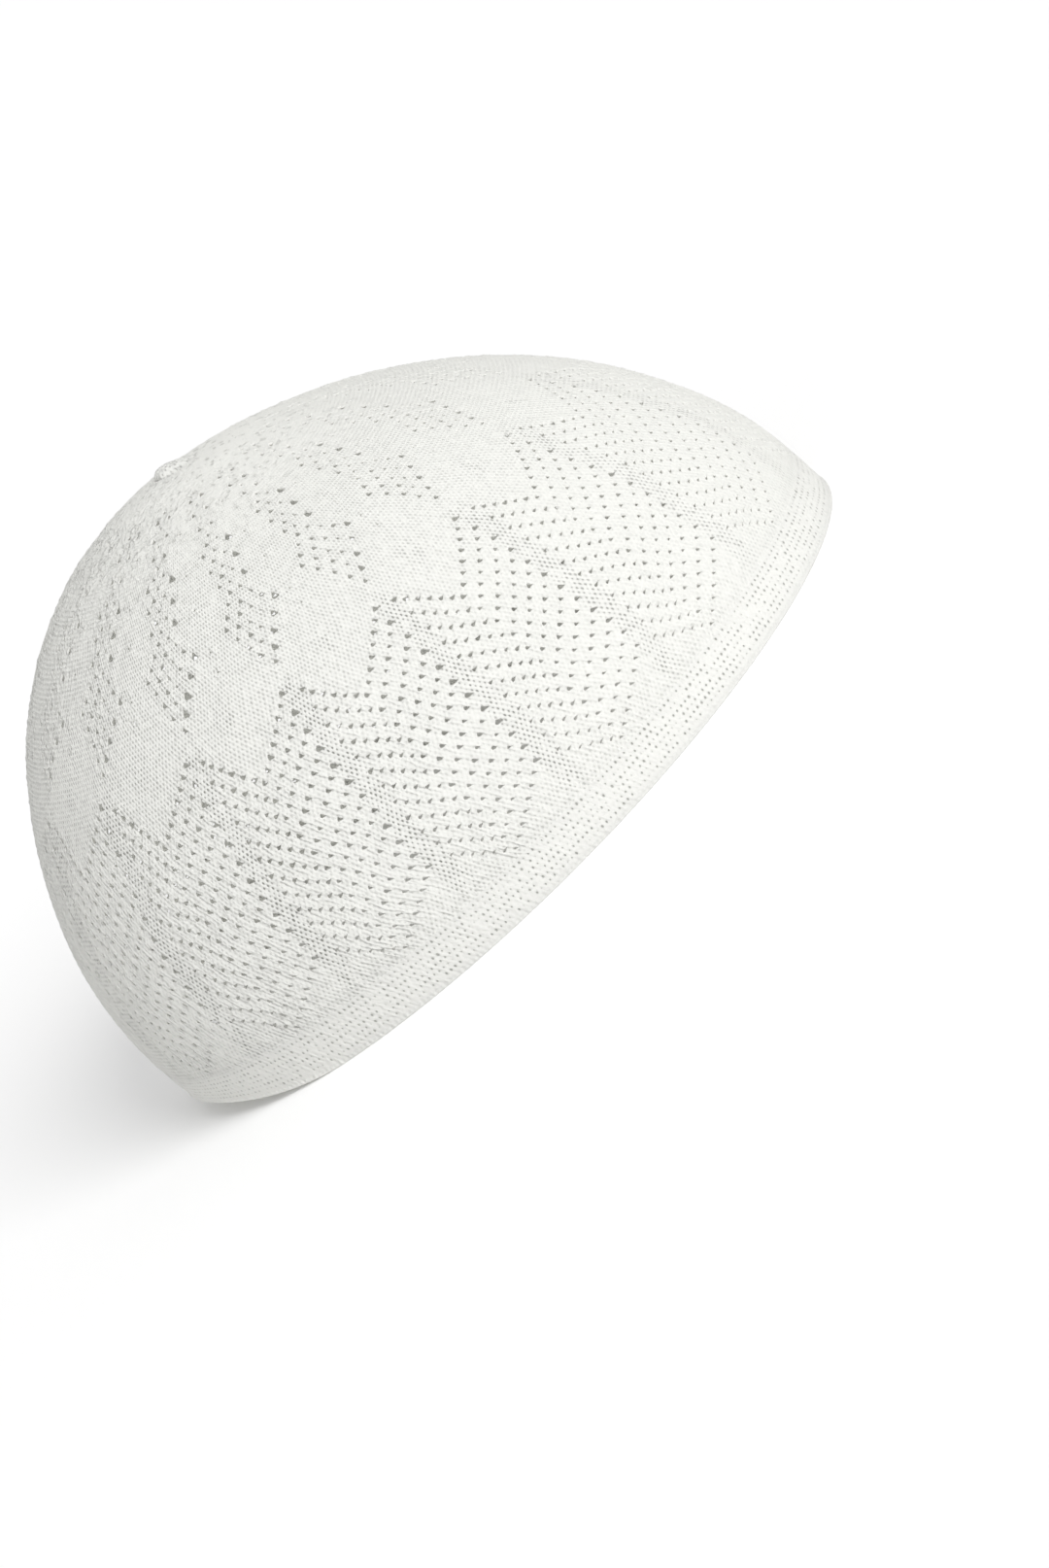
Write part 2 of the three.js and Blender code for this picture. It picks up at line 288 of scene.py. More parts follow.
def repeat_triangles():
    """Triangles of one repeat as points (id, shift in repeats). The repeat is joined to a margin of its
    neighbours first, and a triangle is kept once, where its lowest point has no shift."""
    margin = 4
    flat_ribs = base_rib * rib_width(0.8)
    repeat_width = RIBS * rib_width(0.8)
    ids, shifts, points = [], [], []
    for shift in (-1, 0, 1):
        near = np.ones(base_count, bool)
        if shift == -1:
            near = base_rib > RIBS - margin
        elif shift == 1:
            near = base_rib < margin
        wanted = np.nonzero(near)[0]
        ids.extend(wanted)
        shifts.extend([shift] * len(wanted))
        points.extend(zip(flat_ribs[wanted] + shift * repeat_width, base_down[wanted] * CLOTH_LENGTH))
    ids = np.array(ids)
    shifts = np.array(shifts)
    found = {(i, s): n for n, (i, s) in enumerate(zip(ids.tolist(), shifts.tolist()))}
    edges = []
    for loop in base_loops:
        for shift in (-1, 0, 1):
            numbers = [found.get((int(i), shift)) for i in loop]
            if None not in numbers:
                edges.extend(zip(numbers, numbers[1:] + numbers[:1]))
    made = delaunay_2d_cdt([Vector(p) for p in points], edges, [], 0, 1e-7, True)
    source = np.array([o[0] if o else -1 for o in made[3]])
    faces = source[np.array(made[2])]
    faces = faces[np.all(faces >= 0, axis=1)]
    face_ids = ids[faces]
    face_shifts = shifts[faces]
    owner = base_owner[face_ids]
    hole = (owner[:, 0] >= 0) & (owner[:, 0] == owner[:, 1]) & (owner[:, 0] == owner[:, 2])
    lowest = face_ids.argmin(axis=1)
    kept = ~hole & (face_shifts[np.arange(len(faces)), lowest] == 0)
    return face_ids[kept], face_shifts[kept]


tri_ids, tri_shifts = repeat_triangles()


def waves(turn, down, count, low, high, seed):
    """A smooth uneven field round the cap, about -1 to 1, made of sine waves with whole numbers of turns."""
    pick = np.random.default_rng(seed)
    total = np.zeros_like(turn)
    for _ in range(count):
        turns = pick.integers(low, high)
        downs = pick.uniform(low, high) * 0.35
        total += np.sin(turns * turn + 2 * math.pi * (downs * down + pick.uniform(0, 1)))
    return total / math.sqrt(count)


def near_eyelets():
    """For each point of the repeat, how far the nearest eyelet's edge is, in millimetres, and how far the
    point lies towards the upper left of it, -1 to 1."""
    width = rib_width(base_down)
    x = ((base_rib[:, None] - eyelet_rib[None, :] + RIBS / 2) % RIBS - RIBS / 2) * width[:, None]
    y = (base_down[:, None] - eyelet_down[None, :]) * CLOTH_LENGTH
    away = np.hypot(x, y) - eyelet_radius[None, :]
    nearest = away.argmin(axis=1)
    rows = np.arange(len(nearest))
    x, y, away = x[rows, nearest], y[rows, nearest], away[rows, nearest]
    upper_left = -(0.6 * x + 0.8 * y) / np.maximum(np.hypot(x, y), 0.1)
    return np.maximum(away, 0), upper_left


edge_distance, upper_left = near_eyelets()
edge_distance[base_owner >= 0] = 0

# Round each eyelet the cloth's edge rolls in, and a strand stands up beside it, highest on its upper left.
ROLL_WIDTH = 0.25
ROLL_DEPTH = 0.18
STRAND_FROM_EDGE = 0.35
STRAND_WIDTH = 0.40
STRAND_HEIGHT = 0.22
roll = np.exp(-(edge_distance / ROLL_WIDTH) ** 2)
strand = np.exp(-((edge_distance - STRAND_FROM_EDGE) / STRAND_WIDTH) ** 2) * (0.55 + 0.75 * upper_left)
outer_relief = STRAND_HEIGHT * strand - ROLL_DEPTH * roll
inner_relief = -CLOTH - 0.10 * strand + 0.14 * roll

# All 17 repeats, with small differences from one to the next as in any knit. The cloth is drawn most open
# near the nape, which is also the side in shade; there the pinholes' painted shade is made darkest.
OPEN_AND_SHADED_TURN = math.radians(-168)
UNEVEN_TURN = 0.004
UNEVEN_DOWN = 0.0018
UNEVEN_HEIGHT = 0.08
GATHERS = 51             # small folds that run down from the knot
GATHER_DEPTH = 0.03
GATHER_REACH = 0.14
CROWN_DIP = 0.05         # the crown's last courses sink under the band
DIP_START = 0.925
repeat_of = np.repeat(np.arange(REPEATS), base_count)
rib_all = np.tile(base_rib, REPEATS)
down_all = np.tile(base_down, REPEATS)
owner_all = np.tile(base_owner, REPEATS)
grow = rng.uniform(0.86, 1.16, (REPEATS, len(eyelets)))
owned = owner_all >= 0
size = grow[repeat_of[owned], owner_all[owned]]
owned_turn = wale_turn(repeat_of[owned] + eyelet_rib[owner_all[owned]] / RIBS, eyelet_down[owner_all[owned]])
size = size * (0.90 + 0.25 * np.cos(owned_turn - OPEN_AND_SHADED_TURN))
centre_rib = eyelet_rib[owner_all[owned]]
centre_down = eyelet_down[owner_all[owned]]
rib_all[owned] = centre_rib + (rib_all[owned] - centre_rib) * size
down_all[owned] = centre_down + (down_all[owned] - centre_down) * size
turn_all = wale_turn(repeat_of + rib_all / RIBS, down_all)
fade_ends = np.clip((CROWN_END - down_all) / 0.05, 0, 1) * np.clip(down_all / 0.1, 0, 1)
turn_all += UNEVEN_TURN * fade_ends * waves(turn_all, down_all, 9, 5, 23, 3)
down_all += UNEVEN_DOWN * fade_ends * waves(turn_all, down_all, 9, 5, 23, 4)
uneven = UNEVEN_HEIGHT * fade_ends * waves(turn_all, down_all, 12, 3, 19, 5)
gather_fade = np.clip(1 - down_all / GATHER_REACH, 0, 1)
gather_waves = np.cos(GATHERS * turn_all + 2 * waves(turn_all, down_all, 4, 2, 6, 6))
gathers = -GATHER_DEPTH * gather_fade * (1 - gather_waves)
point_all = cloth_point(turn_all, down_all)
outward_all = cloth_outward(turn_all, down_all)
dip = -CROWN_DIP * np.clip((down_all - DIP_START) / (CROWN_END - DIP_START), 0, 1) ** 2
lift = (uneven + gathers + dip)[:, None]
outer = point_all + outward_all * (lift + np.tile(outer_relief, REPEATS)[:, None])
inner = point_all + outward_all * (lift + np.tile(inner_relief, REPEATS)[:, None])

# Triangles of both faces, with the cut edges of the eyelets and of the two ends between them.
total = REPEATS * base_count
faces, face_places, face_repeats = [], [], []
for repeat in range(REPEATS):
    owner_repeat = repeat + tri_shifts
    vertex = (owner_repeat % REPEATS) * base_count + tri_ids
    place = owner_repeat + base_rib[tri_ids] / RIBS
    faces.append(vertex)
    face_places.append(place)
    faces.append(vertex[:, ::-1] + total)
    face_places.append(place[:, ::-1])
    face_repeats.extend([repeat] * (2 * len(vertex)))


def pinhole_openness(rib, down):
    """How open the pinholes between stitches are, 0 to 1: most in the seam between two fields and at the
    point of each field, least inside the fields. The shader colours the pinholes dark with painted shade,
    by this much."""
    seam_rib = (rib + 1.2 + RIBS / 2) % RIBS - RIBS / 2
    seam = np.exp(-(seam_rib / 1.25) ** 4)
    seam = seam * np.clip((down - 0.50) / 0.04, 0, 1) * np.clip((0.925 - down) / 0.03, 0, 1)
    point = np.exp(-((rib - 7.4) / 1.0) ** 2 - ((down - 0.506) / 0.016) ** 2)
    in_field = np.clip((down - 0.56) / 0.04, 0, 1) * np.clip((0.90 - down) / 0.03, 0, 1)
    return np.clip(0.34 - 0.16 * in_field + 0.80 * seam + 0.5 * point, 0, 1)


def boundary_edges(triangles, places):
    """Directed edges that only one triangle has, with the places of their ends."""
    start = triangles.reshape(-1)
    end = np.roll(triangles, -1, axis=1).reshape(-1)
    start_place = places.reshape(-1)
    end_place = np.roll(places, -1, axis=1).reshape(-1)
    key = start.astype(np.int64) * (2 * total) + end
    other = end.astype(np.int64) * (2 * total) + start
    alone = ~np.isin(key, other)
    return start[alone], end[alone], start_place[alone], end_place[alone]


outer_faces = np.concatenate(faces[0::2])
outer_places = np.concatenate(face_places[0::2])
edge_start, edge_end, start_place, end_place = boundary_edges(outer_faces, outer_places)
wall = np.concatenate([
    np.stack([edge_end, edge_start, edge_start + total], axis=1),
    np.stack([edge_end, edge_start + total, edge_end + total], axis=1),
])
wall_places = np.concatenate([
    np.stack([end_place, start_place, start_place], axis=1),
    np.stack([end_place, start_place, end_place], axis=1),
])
wall_repeats = np.clip(np.floor(wall_places.min(axis=1) + 1e-6), 0, REPEATS - 1).astype(int)
all_faces = np.concatenate([*faces, wall])
all_places = np.concatenate([*face_places, wall_places])
all_repeats = np.concatenate([np.array(face_repeats), wall_repeats])
all_points = np.concatenate([outer, inner])
all_downs = np.concatenate([down_all, down_all])
# Painted shade: the pinholes are coloured darker towards the nape, on the side in shade, and lighter on the
# side towards the lamp.
darker_on_shaded_side = 0.82 + 0.42 * np.cos(turn_all - OPEN_AND_SHADED_TURN)
crown_pinhole_shade = np.tile(pinhole_openness(rib_all, down_all) * darker_on_shaded_side, 2)

# How much the strands between the holes stand up, 0 to 1: most beside the eyelets, near the knot, next to
# the band and towards the nape, on the side in shade, and least on the plain panels. The painted shade
# between the strands follows this relief, so it is most marked where they stand up most.
beside = np.tile(np.exp(-(edge_distance / 1.5) ** 2), REPEATS)
near_knot = np.clip((0.34 - down_all) / 0.24, 0, 1)
near_band = np.clip((down_all - 0.86) / 0.06, 0, 1)
towards_shaded_nape = 0.08 + (0.5 + 0.5 * np.cos(turn_all - OPEN_AND_SHADED_TURN)) ** 1.5
all_strands = np.tile((0.20 + 0.54 * beside + 0.42 * near_knot + 0.40 * near_band) * towards_shaded_nape, 2)


def point_normals(points, triangles):
    """Smooth directions at the points, from all the triangles round each."""
    a, b, c = (points[triangles[:, k]] for k in range(3))
    flat = np.cross(b - a, c - a)
    out = np.zeros_like(points)
    for k in range(3):
        np.add.at(out, triangles[:, k], flat)
    return out / np.maximum(np.linalg.norm(out, axis=1, keepdims=True), 1e-12)


def mesh_piece(name, points, triangles, normals, uv, pinhole_shade, strands, material):
    """A mesh object from arrays in millimetres, with smooth directions, one UV pair for each corner, and at
    each point how much painted shade its pinholes get and how far the strands stand up."""
    mesh = bpy.data.meshes.new(name)
    mesh.vertices.add(len(points))
    mesh.vertices.foreach_set("co", (points * MM).astype(np.float32).ravel())
    mesh.loops.add(3 * len(triangles))
    mesh.loops.foreach_set("vertex_index", triangles.astype(np.int32).ravel())
    mesh.polygons.add(len(triangles))
    mesh.polygons.foreach_set("loop_start", np.arange(0, 3 * len(triangles), 3, dtype=np.int32))
    mesh.update(calc_edges=True)
    knit_places = mesh.uv_layers.new(name="knit")
    knit_places.data.foreach_set("uv", uv.astype(np.float32).ravel())
    mesh.polygons.foreach_set("use_smooth", np.ones(len(triangles), bool))
    for mark, values in (("pinholes", pinhole_shade), ("strands", strands)):
        marked = mesh.attributes.new(mark, "FLOAT", "POINT")
        marked.data.foreach_set("value", np.broadcast_to(values, len(points)).astype(np.float32))
    if normals is not None:
        mesh.normals_split_custom_set_from_vertices(normals.tolist())
    mesh.materials.append(material)
    piece = bpy.data.objects.new(name, mesh)
    bpy.context.scene.collection.objects.link(piece)
    return piece


def linear(code):
    """A linear colour from an sRGB hex value."""
    parts = [int(code[i:i + 2], 16) / 255 for i in (1, 3, 5)]
    return (*[p / 12.92 if p <= 0.04045 else ((p + 0.055) / 1.055) ** 2.4 for p in parts], 1.0)


def add_node(tree, kind, inputs=(), **settings):
    """Adds a node. settings are its own properties, and inputs pairs a socket with a value or a socket."""
    node = tree.nodes.new(kind)
    for name, value in settings.items():
        setattr(node, name, value)
    for socket, value in dict(inputs).items():
        if isinstance(value, bpy.types.NodeSocket):
            tree.links.new(value, node.inputs[socket])
        else:
            node.inputs[socket].default_value = value
    return node


# Mercerised cotton yarn in a fine knit: off white and matt, with a soft sheen from its fibres. Its loops
# make an egg-crate relief with a pinhole at each low place; the pinholes and the gaps between the strands
# are coloured darker with painted shade. One layer lets about two fifths of the light through, which is
# what keeps the eyelets pale.
YARN_COLOUR = "#fafaf7"
PAINTED_SHADE_COLOUR = "#7c7d78"   # painted shade of the pinholes and of the gaps between strands
LEGS_PER_REPEAT = 30     # the loops' slanting legs, uneven from one to the next
LEG_MM = 3.0
LEG_SLANT = 2.4          # repeats that a leg would lean over the whole depth of the cap
LEG_HEIGHT = 2.2         # against the height of a loop
FIBRE_HEIGHT = 0.6
LOOP_HEIGHT = 0.40
DOME_CURVE = 1.85        # about how the rings widen with the way down, as the angle of a sine
LIGHT_THROUGH = 0.40


def knit_material(name, light, shade, loops_per_repeat, loop_row_mm, relief_mm, pinhole_size, slants,
                  gap_shade):
    material = bpy.data.materials.new(name)
    material.use_nodes = True
    tree = material.node_tree
    tree.nodes.clear()
    uv = add_node(tree, "ShaderNodeUVMap", uv_map="knit")
    split = add_node(tree, "ShaderNodeSeparateXYZ", {"Vector": uv.outputs["UV"]})
    across = add_node(tree, "ShaderNodeMath", {0: split.outputs["X"], 1: 2 * math.pi * loops_per_repeat},
                      operation="MULTIPLY")
    rows_down = math.pi * CLOTH_LENGTH / loop_row_mm
    along = add_node(tree, "ShaderNodeMath", {0: split.outputs["Y"], 1: rows_down}, operation="MULTIPLY")
    falling = add_node(tree, "ShaderNodeMath", {0: across.outputs[0], 1: along.outputs[0]},
                       operation="SUBTRACT")
    climbing = add_node(tree, "ShaderNodeMath", {0: across.outputs[0], 1: along.outputs[0]}, operation="ADD")
    level = add_node(tree, "ShaderNodeMath", {0: along.outputs[0], 1: 2.0}, operation="MULTIPLY")
    loops = None
    for phase, share in zip((falling, climbing, level), slants):
        wave = add_node(tree, "ShaderNodeMath", {0: phase.outputs[0]}, operation="COSINE")
        before = loops.outputs[0] if loops else 0.0
        loops = add_node(tree, "ShaderNodeMath", {0: wave.outputs[0], 1: share, 2: before},
                         operation="MULTIPLY_ADD")
    place = add_node(tree, "ShaderNodeTexCoord")
    each = add_node(tree, "ShaderNodeTexNoise",
                    {"Vector": place.outputs["Object"], "Scale": 700.0, "Detail": 1.0})
    each_size = add_node(tree, "ShaderNodeMath", {0: each.outputs["Fac"], 1: 1.5, 2: -0.78},
                         operation="MULTIPLY_ADD")
    uneven_loops = add_node(tree, "ShaderNodeMath", {0: loops.outputs[0], 1: each_size.outputs[0]},
                            operation="ADD")
    hole = add_node(tree, "ShaderNodeMapRange",
                    {"Value": uneven_loops.outputs[0], "From Min": 1.0 - pinhole_size, "From Max": 1.0},
                    interpolation_type="SMOOTHSTEP")
    pinhole_shade = add_node(tree, "ShaderNodeAttribute", attribute_name="pinholes")
    fine = add_node(tree, "ShaderNodeMapRange",
                    {"Value": split.outputs["Y"], "From Min": 0.06, "From Max": 0.40},
                    interpolation_type="SMOOTHSTEP")
    open_here = add_node(tree, "ShaderNodeMath", {0: pinhole_shade.outputs["Fac"], 1: fine.outputs[0]},
                         operation="MULTIPLY")
    even_holes = add_node(tree, "ShaderNodeMath", {0: hole.outputs[0], 1: open_here.outputs[0]},
                          operation="MULTIPLY")
    stray = add_node(tree, "ShaderNodeMapRange",
                     {"Value": each.outputs["Fac"], "From Min": 0.60, "From Max": 0.72})
    near_knot = add_node(tree, "ShaderNodeMath", {0: 1.0, 1: fine.outputs[0]}, operation="SUBTRACT")
    stray_holes = add_node(tree, "ShaderNodeMath", {0: stray.outputs[0], 1: near_knot.outputs[0]},
                           operation="MULTIPLY")
    # Painted shade: this mask colours the pinholes, and the stray ones near the knot, dark. It also sinks
    # them as pits in the relief.
    pinhole_pits_and_shade = add_node(tree, "ShaderNodeMath", {0: stray_holes.outputs[0], 1: 0.45, 2: even_holes.outputs[0]},
                     operation="MULTIPLY_ADD")
    fibres = add_node(tree, "ShaderNodeTexNoise",
                      {"Vector": place.outputs["Object"], "Scale": 1500.0, "Detail": 2.0})
    leaning = add_node(tree, "ShaderNodeMath", {0: split.outputs["Y"], 1: LEG_SLANT, 2: split.outputs["X"]},
                       operation="MULTIPLY_ADD")
    round_cap = add_node(tree, "ShaderNodeMath", {0: leaning.outputs[0], 1: 2 * math.pi / REPEATS},
                         operation="MULTIPLY")
    round_x = add_node(tree, "ShaderNodeMath", {0: round_cap.outputs[0]}, operation="COSINE")
    round_y = add_node(tree, "ShaderNodeMath", {0: round_cap.outputs[0]}, operation="SINE")
    leg_radius = REPEATS * LEGS_PER_REPEAT / (2 * math.pi)
    dome_angle = add_node(tree, "ShaderNodeMath", {0: split.outputs["Y"], 1: DOME_CURVE},
                          operation="MULTIPLY")
    dome_reach = add_node(tree, "ShaderNodeMath", {0: dome_angle.outputs[0]}, operation="SINE")
    reach = add_node(tree, "ShaderNodeMath", {0: dome_reach.outputs[0], 1: leg_radius}, operation="MULTIPLY")
    leg_x = add_node(tree, "ShaderNodeMath", {0: round_x.outputs[0], 1: reach.outputs[0]},
                     operation="MULTIPLY")
    leg_y = add_node(tree, "ShaderNodeMath", {0: round_y.outputs[0], 1: reach.outputs[0]},
                     operation="MULTIPLY")
    leg_z = add_node(tree, "ShaderNodeMath", {0: split.outputs["Y"], 1: CLOTH_LENGTH / LEG_MM},
                     operation="MULTIPLY")
    leg_place = add_node(tree, "ShaderNodeCombineXYZ",
                         {"X": leg_x.outputs[0], "Y": leg_y.outputs[0], "Z": leg_z.outputs[0]})
    legs = add_node(tree, "ShaderNodeTexNoise",
                    {"Vector": leg_place.outputs[0], "Scale": 1.0, "Detail": 1.0})
    raised = add_node(tree, "ShaderNodeMapRange",
                      {"Value": legs.outputs["Fac"], "From Min": 0.36, "From Max": 0.64},
                      interpolation_type="SMOOTHSTEP")
    strands = add_node(tree, "ShaderNodeAttribute", attribute_name="strands")
    leg_depth = add_node(tree, "ShaderNodeMath", {0: strands.outputs["Fac"], 1: LEG_HEIGHT},
                         operation="MULTIPLY")
    fibre_height = add_node(tree, "ShaderNodeMath", {0: fibres.outputs["Fac"], 1: FIBRE_HEIGHT},
                            operation="MULTIPLY")
    leg_height = add_node(tree, "ShaderNodeMath", {0: raised.outputs[0], 1: leg_depth.outputs[0],
                                                   2: fibre_height.outputs[0]}, operation="MULTIPLY_ADD")
    loop_height = add_node(tree, "ShaderNodeMath", {0: fine.outputs[0], 1: -LOOP_HEIGHT},
                           operation="MULTIPLY")
    height = add_node(tree, "ShaderNodeMath", {0: uneven_loops.outputs[0], 1: loop_height.outputs[0],
                                               2: leg_height.outputs[0]}, operation="MULTIPLY_ADD")
    pitted = add_node(tree, "ShaderNodeMath", {0: pinhole_pits_and_shade.outputs[0], 1: -2.0, 2: height.outputs[0]},
                      operation="MULTIPLY_ADD")
    bump = add_node(tree, "ShaderNodeBump",
                    {"Strength": 1.0, "Distance": relief_mm * MM, "Height": pitted.outputs[0]})
    # Painted shade: the low places of the relief between strands are coloured darker, by up to gap_shade.
    painted_gap_shade = add_node(tree, "ShaderNodeMapRange",
                   {"Value": height.outputs[0], "From Min": 0.1, "From Max": 0.9, "To Min": gap_shade,
                    "To Max": 0.0})
    shaded = add_node(tree, "ShaderNodeMath", {0: pinhole_pits_and_shade.outputs[0], 1: painted_gap_shade.outputs[0]}, operation="MAXIMUM")
    # The yarn's colour, with the painted shade of pinholes and gaps mixed in.
    tint = add_node(tree, "ShaderNodeMix", {0: shaded.outputs[0], 6: linear(light), 7: linear(shade)},
                    data_type="RGBA")
    face = add_node(tree, "ShaderNodeBsdfPrincipled",
                    {"Base Color": tint.outputs[2], "Roughness": 0.85, "IOR": 1.5,
                     "Specular IOR Level": 0.25, "Sheen Weight": 0.15, "Sheen Roughness": 0.4,
                     "Normal": bump.outputs[0]})
    through = add_node(tree, "ShaderNodeBsdfTranslucent", {"Color": linear(light)})
    both = add_node(tree, "ShaderNodeMixShader",
                    {0: LIGHT_THROUGH, 1: face.outputs[0], 2: through.outputs[0]})
    add_node(tree, "ShaderNodeOutputMaterial", {"Surface": both.outputs[0]})
    return material


# Loops stand 28 to a repeat, 1.2 mm apart, in rows 0.95 mm apart, and most of them lean one way.
lace_cotton = knit_material("mercerised_cotton_lace_knit", YARN_COLOUR, PAINTED_SHADE_COLOUR, 28, 0.95, 0.20, 0.50,
                            (0.42, 0.58, 0.0), 0.07)

# The dome is one cloth. It is made in four parts of four or five repeats that meet stitch on stitch, so that
# no mesh is too heavy.
crown_normals = point_normals(all_points, all_faces)
at_end = (all_downs < CROWN_TOP + 0.001) | (all_downs > CROWN_END - 0.008)
facing = np.concatenate([outward_all, -outward_all])
crown_normals[at_end] = facing[at_end]
CROWN_PARTS = {"crown_right_front": (0, 4), "crown_right_back": (4, 8), "crown_left_back": (8, 12),
               "crown_left_front": (12, 17)}
for name, (first, after) in CROWN_PARTS.items():
    chosen = (all_repeats >= first) & (all_repeats < after)
    used, renumbered = np.unique(all_faces[chosen], return_inverse=True)
    triangles = renumbered.reshape(-1, 3)
    uv = np.stack([all_places[chosen], all_downs[all_faces[chosen]]], axis=-1)
    part = mesh_piece(name, all_points[used], triangles, crown_normals[used], uv,
                      crown_pinhole_shade[used], all_strands[used], lace_cotton)
    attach(part, "root")
    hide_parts("crown")

# The rim band: the same yarn in a firmer knit, worked on to the crown, with larger loops in staggered rows
# and a bound edge of small scallops along the rim.
BAND_START = 0.9220
BAND_WALL = 2.0
BAND_PROUD = 0.06
EDGE_PROUD = 0.14
BOUND_EDGE = 0.9935
BAND_DEPTH = 10.5
NAPE_RISE = 4.0          # how much higher the rim lies at the nape, where the band is shallower
NAPE_REACH = math.radians(48)
NAPE_FULL = math.radians(12)
SCALLOPS = 24            # in each repeat
POINTS_PER_REPEAT = 96
band_around = REPEATS * POINTS_PER_REPEAT
band_downs = np.concatenate([
    np.linspace(BAND_START, BOUND_EDGE, 20),
    np.linspace(BOUND_EDGE, 1.0, 8)[1:],
])


def risen(turn, down):
    """Where a course of the band lies: the courses close up towards the nape, which lifts the rim there."""
    from_nape = np.abs(np.mod(turn, 2 * math.pi) - math.pi)
    s = np.clip((NAPE_REACH - from_nape) / (NAPE_REACH - NAPE_FULL), 0, 1)
    shallower = s * s * (3 - 2 * s) * NAPE_RISE / BAND_DEPTH
    top = 1 - BAND_DEPTH / CLOTH_LENGTH
    return down - np.maximum(down - top, 0) * shallower


def band_section(place, down):
    """How far the band stands out of the cloth. It starts just under the crown's last course, so that the
    two run into each other."""
    rise = np.clip((down - CROWN_END) / 0.030, 0, 1)
    rise = rise * rise * (3 - 2 * rise)
    under = -0.15 * np.clip((CROWN_END - down) / (CROWN_END - BAND_START), 0, 1)
    rib = 0.03 * np.cos(2 * math.pi * place * RIBS) * rise
    edge = np.clip((down - BOUND_EDGE) / (1 - BOUND_EDGE), 0, 1)
    bead = EDGE_PROUD * np.sqrt(np.clip(1 - (2 * edge - 1) ** 2, 0, 1))
    scallop = 0.06 * np.cos(2 * math.pi * SCALLOPS * place) * np.sin(math.pi * edge)
    return under + BAND_PROUD * rise + rib + bead + scallop


places = np.arange(band_around) / POINTS_PER_REPEAT
place_grid, down_grid = np.meshgrid(places, band_downs)
turn_grid = wale_turn(place_grid, down_grid)
course_grid = risen(turn_grid, down_grid)
band_out = cloth_outward(turn_grid, course_grid)
level_out = band_out.copy()
level_out[..., 2] = 0
level_out /= np.linalg.norm(level_out, axis=-1, keepdims=True)
at_rim = (down_grid > 0.9999)[..., None]
band_out = np.where(at_rim, level_out, band_out)
band_face = cloth_point(turn_grid, course_grid) + band_out * band_section(place_grid, down_grid)[..., None]
inside_downs = np.linspace(1.0, BAND_START, 9)
inside_place, inside_down = np.meshgrid(places, inside_downs)
inside_turn = wale_turn(inside_place, inside_down)
inside_course = risen(inside_turn, inside_down)
inside_out = cloth_outward(inside_turn, inside_course)
flat_out = inside_out.copy()
flat_out[..., 2] = 0
flat_out /= np.linalg.norm(flat_out, axis=-1, keepdims=True)
inside_out = np.where((inside_down > 0.9999)[..., None], flat_out, inside_out)
inside_face = cloth_point(inside_turn, inside_course) + inside_out * (BAND_PROUD - BAND_WALL)
band_rows = np.concatenate([band_face, inside_face])
band_row_downs = np.concatenate([down_grid, inside_down])


def wrapped_grid(rows, around):
    """Triangles of rows of points joined into a closed ring, and the column and row of each corner."""
    row = np.arange(rows)[:, None] + np.zeros(around, int)[None, :]
    column = np.arange(around)[None, :] + np.zeros(rows, int)[:, None]
    next_row = (row + 1) % rows
    corners = [(row, column), (next_row, column), (next_row, column + 1), (row, column + 1)]
    flat = [(r.ravel() * around + c.ravel() % around, c.ravel(), r.ravel()) for r, c in corners]
    order = ((0, 2, 1), (0, 3, 2))
    triangles = np.concatenate([np.stack([flat[k][0] for k in one], axis=1) for one in order])
    columns = np.concatenate([np.stack([flat[k][1] for k in one], axis=1) for one in order])
    rows_of = np.concatenate([np.stack([flat[k][2] for k in one], axis=1) for one in order])
    return triangles, columns, rows_of


band_triangles, band_columns, band_rows_of = wrapped_grid(len(band_rows), band_around)
band_points = band_rows.reshape(-1, 3)
band_uv = np.stack([band_columns / POINTS_PER_REPEAT, band_row_downs[:, 0][band_rows_of]], axis=-1)
# Painted shade in the band's pinholes: full in the rows above the bound edge, none on it.
band_openness = np.repeat(np.clip((BOUND_EDGE - band_row_downs[:, 0]) / 0.003, 0, 0.75), band_around)
band_normals = point_normals(band_points, band_triangles)
under_crown = int((band_downs < CROWN_END + 0.003).sum())
band_normals[:under_crown * band_around] = band_out[:under_crown].reshape(-1, 3)
rib_cotton = knit_material("mercerised_cotton_rib_knit", YARN_COLOUR, PAINTED_SHADE_COLOUR, SCALLOPS, 1.45, 0.16,
                           0.34, (0.30, 0.42, 0.28), 0.03)
rim_band = mesh_piece("knitted_rim_band", band_points, band_triangles, band_normals, band_uv,
                      band_openness, 0.25, rib_cotton)
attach(rim_band, "root")
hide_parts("rim_band")

# The closing knot: the last course is drawn together on its own yarn into a low soft tuft. It rises slowly
# from the forehead side and ends in a round heel towards the nape, with the gathers running up into it.
KNOT_LENGTH = 11.0
KNOT_WIDTH = 7.8
KNOT_HEIGHT = 2.4
KNOT_SUNK = 0.30
KNOT_SHOULDER = 0.62     # height over the middle, as a share of the knot's height
KNOT_TILT = 0.38         # how much lower it is than that towards the forehead, and higher at the heel
knot_rings = 30
knot_around = 136
ring = np.linspace(0, 1, knot_rings)[1:]
angle = np.arange(knot_around) * 2 * math.pi / knot_around
ring_grid, angle_grid = np.meshgrid(ring, angle, indexing="ij")
backward = (1 - np.cos(angle_grid)) / 2
roundness = 1.7 + 2.3 * backward
profile = (1 - ring_grid ** roundness) ** (1.1 - 0.5 * backward)
slope = KNOT_SHOULDER - KNOT_TILT * ring_grid * np.cos(angle_grid)
folds = 0.05 * np.sin(math.pi * ring_grid) * np.cos(17 * angle_grid + 1.6 * np.sin(3 * angle_grid))
